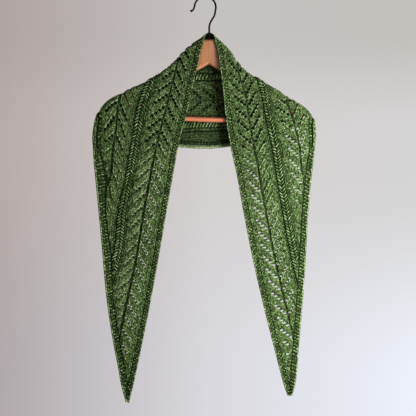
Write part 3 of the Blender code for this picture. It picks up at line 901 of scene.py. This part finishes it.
def layPlait(strands, rows, centre):
    # A raised rib of long stitches that meet in a row of arrow heads, and slanting bars behind it
    room = yarn["plaitRoom"]
    outer, inner = yarn["plaitCut"]
    cut = rows[centre + room >= insideAt((rows + 0.5) * scarf["rowPitch"])]
    layColumn(strands, cut, centre + outer)
    cut = cut[centre >= insideAt((cut + 0.5) * scarf["rowPitch"])]
    layColumn(strands, cut, centre + inner)
    rows = rows[np.mod(rows, 2) == 0]
    s = (rows + 0.5) * scarf["rowPitch"]
    size = [yarn[key] for key in ("plaitLong", "plaitWide", "plaitHigh")]
    for side in (-1, 1):
        along = s[centre + (room if side > 0 else 0) < insideAt(s)]
        place, turn = centre + side * yarn["plaitApart"], -side * yarn["plaitLean"]
        strands.lay(along, place, *size, turn, yarn["plaitDip"], 0.0, yarn["plaitTone"])
    s = s[np.abs(s) < yarn["slashReach"]]
    back = -groundHeight(s, s * 0 + centre)
    size = [yarn[key] for key in ("slashLong", "slashWide", "slashHigh")]
    strands.lay(s, centre, *size, yarn["slashLean"], 0.0, back, yarn["slashTone"])


edges = {
    "least": 2.4,                  # the cloth's depth that a strand needs, in its distances from the edge
    "cordAt": 0.0017,              # from the edge
    "cordLong": 0.0041,
    "cordWide": 0.0017,
    "cordHigh": 0.0017,
    "cordLean": math.radians(9),
    "cordDip": 0.0003,
    "neckCordTone": 0.1,
    "hemCordTone": 0.4,
    "rungLong": 0.0024,
    "rungWide": 0.0015,
    "rungHigh": 0.0014,
    # near or far rung, rows on from an even one, distance from the edge, how far up, tone
    "rungs": (
        ("near", 0.5, 0.0049, 0.0, 0.1),
        ("near", 1.5, 0.0049, -0.0008, -0.6),
        ("far", 1.5, 0.0087, 0.0, 0.1),
        ("far", 0.5, 0.0087, -0.0008, -0.6),
    ),
    "hemWider": 1.2,               # the hem's border against the neck edge's
    "rollStart": 0.195,            # the stretch of the hem that is rolled at each shoulder
    "rollEnd": 0.290,
    "rollShift": 0.0016,           # how far its far rungs move in
    "rollDim": (0.45, 0.1),        # painted shade on its cord, left and right
    "rollAt": 0.0048,              # its second cord, from the hem
    "rollLong": 0.0040,
    "rollWide": 0.0019,
    "rollHigh": 0.0016,
    "rollShade": (-0.35, 0.0),      # painted shade, left and right
    "peakStep": 0.0033,            # the rolled edge of the peak behind the hook, which bulges outwards
    "peakAt": 0.0014,
    "peakOut": 0.0016,
    "peakSpan": 0.0035,
    "peakLong": 0.0030,
    "peakWide": 0.0020,
    "peakTaper": 0.05,
    "peakHigh": 0.0018,
    "peakLean": math.radians(8),
    # painted light on the peak's rolled rim
    "peakLight": 1.0,
    "backReach": 0.19,             # the curled edge of the back's hem
    "backStep": 1.5,               # rows
    # distance from the hem, tone with painted light
    "backCurls": ((0.0022, 0.55), (0.0054, 0.35)),
    "backLong": 0.0036,
    "backWide": 0.0019,
    "backHigh": 0.0013,
    "backLean": -0.35,             # radians
    "backUp": -0.0024,
    # the bound-off stitches of each tip, and how far in their rows lie, with the tone
    "tipAcross": (0.0012, 0.0031, 0.0050, 0.0069),
    "tipOut": (0.0001, 0.0014, 0.0014, 0.0001),
    "tipRows": ((0.0, 0.3), (0.0036, 0.0)),
    "tipLong": 0.0021,
    "tipWide": 0.0019,
    "tipLean": -0.3,               # radians
}


def layBorder(strands, rows, fromHem):
    # An edge cord and a ladder of bumps beside it. The hem is rolled at the shoulders
    wider = edges["hemWider"] if fromHem else 1.0
    cordTone = edges["hemCordTone"] if fromHem else edges["neckCordTone"]
    cord = ("cord", 1.0, edges["cordAt"], 0.0, cordTone)
    even = rows[np.mod(rows, 2) == 0]
    for kind, start, distance, up, tone in (cord, *edges["rungs"]):
        s = (even + start) * scarf["rowPitch"]
        t = distance * wider + 0 * s
        width = widthAt(s)
        rolled = fromHem & (np.abs(s) > edges["rollStart"]) & (np.abs(s) < edges["rollEnd"])
        keep = width > t * edges["least"]
        if kind == "near":
            keep &= ~rolled
        elif kind == "far":
            t = np.where(rolled, t + edges["rollShift"], t)
        s, t, width, rolled = s[keep], t[keep], width[keep], rolled[keep]
        slope = hemSlope(s) if fromHem else 0 * s
        place = width - t if fromHem else t
        if kind == "cord":
            size = [edges[key] for key in ("cordLong", "cordWide", "cordHigh")]
            # painted shade on the rolled cord, more on the left
            tone = tone - np.where(s < 0, *edges["rollDim"]) * rolled
            strands.lay(s, place, *size, slope + edges["cordLean"], edges["cordDip"], up, tone)
        else:
            size = (edges["rungLong"] * wider, edges["rungWide"], edges["rungHigh"])
            strands.lay(s, place, *size, slope + math.pi / 2, 0.0, up, tone)
    if fromHem:
        s = np.arange(edges["rollStart"], edges["rollEnd"], scarf["rowPitch"])
        s = np.concatenate([-s, s])
        size = [edges[key] for key in ("rollLong", "rollWide", "rollHigh")]
        turn, tone = hemSlope(s) + edges["cordLean"], np.where(s < 0, *edges["rollShade"])
        strands.lay(s, widthAt(s) - edges["rollAt"], *size, turn, 0.0, 0.0, tone)


def layEnds(strands):
    # The rolled edge of the peak, the curled edge of the back's hem, and the stitches across each tip
    s = np.arange(-3, 4) * edges["peakStep"]
    t = edges["peakAt"] - edges["peakOut"] * np.exp(-((s / edges["peakSpan"]) ** 2))
    size = (edges["peakLong"], edges["peakWide"] - edges["peakTaper"] * np.abs(s), edges["peakHigh"])
    strands.lay(s, t, *size, edges["peakLean"], 0.0, 0.0, edges["peakLight"])
    s = np.arange(-edges["backReach"], edges["backReach"], scarf["rowPitch"] * edges["backStep"])
    size = [edges[key] for key in ("backLong", "backWide", "backHigh")]
    for fromHem, tone in edges["backCurls"]:
        turn = hemSlope(s) + edges["backLean"]
        strands.lay(s, widthAt(s) - fromHem, *size, turn, 0.0, edges["backUp"], tone)
    out, across = np.array(edges["tipOut"]), np.array(edges["tipAcross"])
    size = (edges["tipLong"], edges["tipWide"], edges["tipWide"])
    for side in (-1, 1):
        for inward, tone in edges["tipRows"]:
            end = side * (scarf["halfLength"] + out - inward)
            strands.lay(end, across, *size, math.pi / 2 + edges["tipLean"], 0.0, 0.0, tone)


def layScarf():
    half = round(scarf["halfLength"] / scarf["rowPitch"])
    rows = np.arange(-half, half)
    strands = Strands()
    for panel, (centre, reach) in enumerate(zip(scarf["laceCentres"], scarf["laceReach"])):
        for column in range(-reach, reach + 1):
            low = abs(column) == reach and (panel == 1 or column > 0)
            layColumn(strands, rows, centre + column * scarf["stitchWide"], column, low)
        layVeins(strands, rows, centre)
    for centre in scarf["plainColumns"]:
        layColumn(strands, rows, centre)
    for centre in scarf["ribCentres"]:
        layPlait(strands, rows, centre)
    layBorder(strands, rows, False)
    layBorder(strands, rows, True)
    layEnds(strands)
    return strands.table()


def strandShape():
    # One strand of unit size as triangles: places (along, across, up), faces, and a map of its corners
    ball = bmesh.new()
    bmesh.ops.create_uvsphere(ball, u_segments=yarn["around"], v_segments=yarn["along"], radius=1.0)
    bmesh.ops.triangulate(ball, faces=ball.faces)
    ball.verts.index_update()
    places = np.array([(vert.co.z, vert.co.x, vert.co.y) for vert in ball.verts])
    faces = np.array([[vert.index for vert in face.verts] for face in ball.faces])
    ball.free()
    corners = places[faces]
    angle = np.arctan2(corners[..., 2], corners[..., 1]) / (2 * math.pi)
    pole = np.abs(corners[..., 0]) > 0.99
    first = np.where(pole[:, :1], angle[:, 1:2], angle[:, :1])
    angle = first + np.mod(angle - first + 0.5, 1) - 0.5
    others = np.where(pole, 0, angle).sum(1) / np.maximum(1, (~pole).sum(1))
    angle = np.where(pole, others[:, None], angle)  # a pole lies between its face's other corners
    angle -= math.floor(angle.min() * 10) / 10
    return places, faces, np.stack([corners[..., 0] / 2 + 0.5, angle / angle.max()], -1)


shading = {
    "wrongShadeUpper": 0.22,            # painted shade on the wrong side, and near the hem
    "wrongShadeLower": 0.62,
    "lowerFrom": 0.2,              # metres from the neck edge
    "hemMargin": 0.0045,           # the edges stay as light as the right side
    "neckMargin": 0.006,
    "woodShadow": 0.9,             # under the hanger
    "steep": 2.5,                  # how fast the painted shade grows towards a strand's wrong side
    "start": 0.25,
    "curlWide": 0.0075,            # painted light on the curled edge of the back's hem
    "curlReach": 0.2,
    "curlLight": 0.8,
}


def strandLight(s, t, above, places, tone):
    # For each point its tone, how far above or below its strand's middle it lies, and the painted shade
    # on its wrong side. The back's cloth under the hanger gets painted shadow, and the curled edge of the
    # back's hem painted light
    shade = dice.random((len(s), 1)) + tone + 0 * above
    crest = np.abs(above) + 0 * shade
    fromHem = widthAt(s) - t
    wrong = np.where(t > shading["lowerFrom"], shading["wrongShadeLower"], shading["wrongShadeUpper"])
    wrong = np.where(fromHem < shading["hemMargin"], 0, wrong) * (t > shading["neckMargin"])
    underWood = hanger["notchZ"] - hanger["slope"] * np.abs(places[:, 0] - hanger["notchX"])
    shadow = np.clip(1 - (underWood - places[:, 2]) / hanger["shadowReach"], 0, 1)
    shadow = shadow.reshape(len(s), -1) * shading["woodShadow"]
    below = np.clip(-above * shading["steep"] - shading["start"], 0, 1)
    # painted shade on the wrong side, and painted shadow on the back under the hanger
    inner = below * np.maximum(wrong, shadow * (pastFold(s, t) > 0))
    # painted light on the wrong side of the back's curled hem
    curled = (fromHem < shading["curlWide"]) & (np.abs(s) < shading["curlReach"])
    shade = shade + np.clip(-above, 0, 1) * curled * shading["curlLight"]
    return {"shade": shade, "crest": crest, "inner": inner}


def addYarn(name, table):
    print("Yarn", name, len(table), "strands")
    shape, faces, corners = strandShape()
    count = len(table)
    noise = dice.normal(0, 1, (count, 4))
    s, t, long, wide, high, turn, lift, up, tone = (table[:, k : k + 1] for k in range(9))
    s = s + noise[:, :1] * yarn["uneven"]
    t = t + noise[:, 1:2] * yarn["uneven"]
    turn = turn + noise[:, 2:3] * yarn["unevenTurn"]
    size = 1 + yarn["unevenSize"] * noise[:, 3:4]
    along, across, above = shape[:, 0], shape[:, 1], shape[:, 2]
    flatS = s + long * along * np.cos(turn) - wide * size * across * np.sin(turn)
    flatT = t + long * along * np.sin(turn) + wide * size * across * np.cos(turn)
    height = groundHeight(s, t) + up + high * size * above - lift * along
    flatS, flatT = openEyelets(flatS.ravel(), flatT.ravel())
    places = raised(flatS, flatT, height.ravel())
    mesh = bpy.data.meshes.new(name)
    allFaces = (faces[None] + (np.arange(count) * len(shape))[:, None, None]).ravel()
    mesh.vertices.add(len(places))
    mesh.vertices.foreach_set("co", places.astype(np.float32).ravel())
    mesh.loops.add(len(allFaces))
    mesh.loops.foreach_set("vertex_index", allFaces.astype(np.int32))
    mesh.polygons.add(len(allFaces) // 3)
    mesh.polygons.foreach_set("loop_start", np.arange(0, len(allFaces), 3, dtype=np.int32))
    mesh.update(calc_edges=True)
    mesh.shade_smooth()
    for key, values in strandLight(s, t, above, places, tone).items():
        layer = mesh.attributes.new(key, "FLOAT", "POINT")
        layer.data.foreach_set("value", np.ascontiguousarray(values, np.float32).ravel())
    # one small square of the map for each strand
    perSide = math.ceil(math.sqrt(count))
    cell = np.stack([np.arange(count) % perSide, np.arange(count) // perSide], -1)[:, None, None, :]
    atlas = (cell + 0.06 + 0.88 * corners[None]) / perSide
    strandMap = np.broadcast_to(corners[None], atlas.shape)
    for layerName, values in (("strand", strandMap), ("OFBake", atlas)):
        layer = mesh.uv_layers.new(name=layerName)
        layer.uv.foreach_set("vector", np.ascontiguousarray(values, np.float32).ravel())
    piece = bpy.data.objects.new(name, mesh)
    bpy.context.scene.collection.objects.link(piece)
    return piece


greens = {
    "deep": (0.007, 0.014, 0.004),
    "pine": (0.050, 0.106, 0.025),
    "leaf": (0.155, 0.278, 0.077),
    "pale": (0.400, 0.510, 0.270),
    "brown": (0.130, 0.088, 0.045),
    # the ground's greens are painted shade, for the gaps between the strands
    "ground": ((0.003, 0.007, 0.001), (0.013, 0.028, 0.006)),
    # painted shade for the eyelets that are not cut
    "eyeletShadeGreens": ((0.001, 0.002, 0.001), (0.004, 0.008, 0.003)),
}


def knitPaint():
    paint = Paint(
        "heathered_yarn",
        Roughness=0.88,
        Sheen_Weight=0.08,
        Sheen_Roughness=0.5,
        Specular_IOR_Level=0.15,
    )
    where = paint.place()
    shade = paint.attribute("shade")
    broad = paint.noise(where, scale=240, detail=3, roughness=0.6)
    fine = paint.noise(where, scale=620, detail=2, roughness=0.6)
    mixed = broad + (fine - 0.5) * 0.9 + (shade - 0.5) * 0.32
    colour = paint.ramp(mixed, [
        (0.22, greens["deep"]),
        (0.44, greens["pine"]),
        (0.62, greens["leaf"]),
        (0.85, greens["pale"]),
    ])
    flecks = paint.noise(where, scale=330, detail=1).above(0.58, 0.66) * 0.6
    flecked = paint.blend(flecks, colour, greens["brown"])
    # between the strands and on the wrong side little light gets in
    shadow = (1 - paint.attribute("crest").above(0.10, 0.75)) * 0.85
    shaded = paint.blend(shadow, flecked, greens["deep"])
    paint.set("Base Color", paint.blend(paint.attribute("inner"), shaded, greens["deep"]))
    strand = paint.node("ShaderNodeUVMap", {"uv_map": "strand"})
    plies = paint.node("ShaderNodeMapping", None, {"Vector": strand, "Scale": (3.0, 3.0, 1.0)})
    waves = {"Vector": plies, "Scale": 0.5}
    twist = paint.node("ShaderNodeTexWave", {"bands_direction": "DIAGONAL"}, waves, output=1)
    fuzz = paint.noise(where, scale=1900, roughness=0.6)
    paint.bump(twist * 0.6 + fuzz * 0.5, distance=0.0004, strength=0.7)
    return paint


def groundPaint():
    paint = Paint("knit_shadow", Roughness=0.95, Specular_IOR_Level=0.1)
    where = paint.place()
    tone = paint.noise(where, scale=500, roughness=0.6)
    # painted shade: the ground shows only in the gaps between strands
    dark, light = greens["ground"]
    paint.set("Base Color", paint.ramp(tone, [(0.35, dark), (0.65, light)]))
    paint.bump(paint.noise(where, scale=1500, roughness=0.6), distance=0.0003, strength=0.6)
    return paint


# A dark sheet of painted shade on eyelets that are not cut, seen from both sides
def shadePaint():
    paint = Paint("eyelet_shade", Roughness=1.0, Specular_IOR_Level=0.1)
    fuzz = paint.noise(paint.place(), scale=900)
    dark, light = greens["eyeletShadeGreens"]
    paint.set("Base Color", paint.ramp(fuzz, [(0.3, dark), (0.7, light)]))
    return paint


def addScarf():
    ground = addGround()
    table = layScarf()
    d = pastFold(table[:, 0], table[:, 1])
    stretches = {
        "knit_back": d > 0,
        "knit_front_left": (d <= 0) & (table[:, 0] < 0),
        "knit_front_right": (d <= 0) & (table[:, 0] >= 0),
    }
    paint = knitPaint()
    pieces = []
    for name, chosen in stretches.items():
        rows = table[chosen]
        inner = rows[:, 1] < scarf["ribCentres"][0] if name != "knit_back" else rows[:, 0] < 0
        for part, mask in (("a", inner), ("b", ~inner)):
            piece = addYarn(f"{name}_{part}", rows[mask])
            piece.data.materials.append(paint.material)
            pieces.append(piece)
    steps = np.linspace(-scarf["halfLength"], scarf["halfLength"], 400)
    flatArea = float(widthAt(steps).mean() * 2 * scarf["halfLength"])
    print("  flat area", round(flatArea, 4))
    for piece in [ground, *pieces]:
        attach(piece, "root")
    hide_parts("scarf_front_left", "scarf_front_right", "scarf_back")
    float(widthAt(0.0))


# The hanger

hanger = {
    "notchX": 0.0071,              # the underside of the wood: its highest place, and how it falls
    "notchZ": -0.1405,
    "slope": 0.592,
    "shadowReach": 0.016,          # how far below the wood the cloth behind it is in shade
    "woods": ((0.315, 0.115, 0.045), (0.462, 0.196, 0.089), (0.575, 0.281, 0.146)),  # dark to light
    "pink": (0.490, 0.230, 0.162),
    "middleLine": (0.36, 0.135, 0.055),
    # painted shade for the wood's underside edge
    "underside": (0.16, 0.060, 0.028),
    "bars": ((0.475, 0.131, 0.061), (0.71, 0.262, 0.139)),
    "wire": (0.003, 0.003, 0.0035),
}


def woodPaint():
    paint = Paint("oiled_wood", Roughness=0.42, Coat_Roughness=0.25)
    lengthwise = paint.place((1.0, 1.0, 0.12))
    grain = paint.noise(lengthwise, scale=160, detail=4, roughness=0.55, distortion=0.6)
    cloud = paint.noise(paint.place((1, 1, 0.5)), scale=28)
    stops = list(zip((0.30, 0.48, 0.66), hanger["woods"]))
    colour = paint.ramp(grain * 0.7 + cloud * 0.3, stops)
    across = paint.node("ShaderNodeSeparateXYZ", None, {0: paint.place()})
    pink = (across + (cloud - 0.5) * 0.03).above(0.002, 0.022) * 0.45
    toned = paint.blend(pink, colour, hanger["pink"])
    # a darker line down the middle of the wood
    leftOfMiddleLine = 1 - (across + grain * 0.002).above(0.0082, 0.0098)
    middleLine = leftOfMiddleLine * across.above(0.0050, 0.0066) * 0.25
    lined = paint.blend(middleLine, toned, hanger["middleLine"])
    # painted shade along the underside edge of the wood
    fromNotch = across - hanger["notchX"]
    fromMiddle = paint.node("ShaderNodeMath", {"operation": "ABSOLUTE"}, {0: fromNotch})
    aboveLine = across.beside(2) + fromMiddle * hanger["slope"] - hanger["notchZ"]
    underside = (1 - aboveLine.above(0.0005, 0.0045)) * 0.75
    paint.set("Base Color", paint.blend(underside, lined, hanger["underside"]))
    paint.bump(grain, distance=0.0003, strength=0.4)
    return paint


def barPaint():
    paint = Paint("red_wood", Roughness=0.40)
    lengthwise = paint.place((0.05, 1.0, 1.0))
    grain = paint.noise(lengthwise, scale=420, detail=3, roughness=0.55, distortion=0.4)
    dark, light = hanger["bars"]
    paint.set("Base Color", paint.ramp(grain, [(0.35, dark), (0.65, light)]))
    paint.bump(grain, distance=0.0002, strength=0.3)
    return paint


def wirePaint():
    return Paint("black_wire", Roughness=0.5, Base_Color=hanger["wire"], Specular_IOR_Level=0.12)


def addHanger():
    print("Hanger")
    paints = {"hanger_body": woodPaint(), "trouser_bar": barPaint(), "hanger_hook": wirePaint()}
    for name, paint in paints.items():
        for slot in bpy.data.objects[name].material_slots:
            slot.material = paint.material


addStudio(studio)
addScarf()
addHanger()
